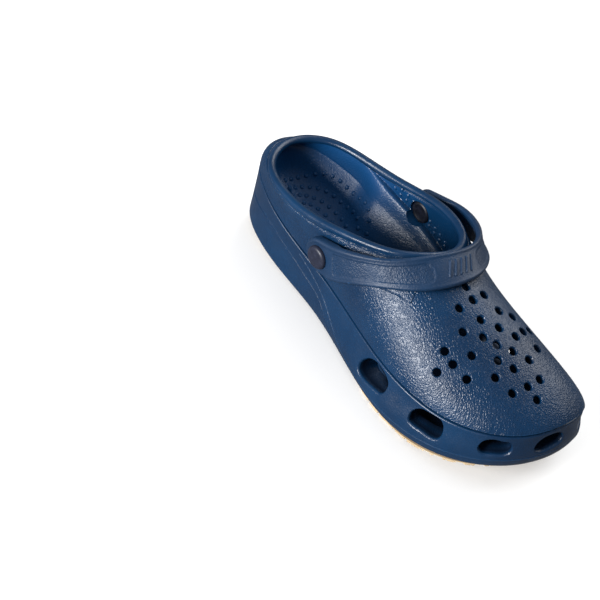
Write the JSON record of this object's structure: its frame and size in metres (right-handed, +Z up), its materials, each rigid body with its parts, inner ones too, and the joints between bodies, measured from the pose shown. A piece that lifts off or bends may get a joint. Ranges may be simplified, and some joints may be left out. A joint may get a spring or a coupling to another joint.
{
  "type": "garden clog",
  "caption": "Right-foot slip-on foam garden clog with a heel strap that turns on rivets, air holes in the vamp, vents in the side band and tread pads let into the sole.",
  "frame": {"origin": "bottom centre of the bounding box, on the ground under the waist of the sole", "axes": "+X towards the toe, +Y towards the medial (big-toe) side, +Z up from the ground"},
  "size_m": [0.2782, 0.1086, 0.1015],
  "materials": {
    "navy_foam": "satin, fine leather grain",
    "navy_strap": "satin, grained panels",
    "black_rivet": "matte",
    "tan_tread": "matte"
  },
  "bodies": {
    "clog": {"clog_body": "navy_foam", "rivet_button_lateral": "black_rivet", "rivet_button_medial": "black_rivet", "rivet_cap_lateral": "black_rivet", "rivet_cap_medial": "black_rivet", "forefoot_tread": "tan_tread", "heel_tread": "tan_tread"},
    "strap": {"heel_strap": "navy_strap"}
  },
  "joints": [
    {"name": "strap_hinge", "type": "hinge", "parent": "clog", "child": "strap", "pos_m": [-0.0425, -0.0485, 0.0585], "axis": [-0.0451, -0.9971, -0.062], "range_deg": [0, 120]}
  ]
}
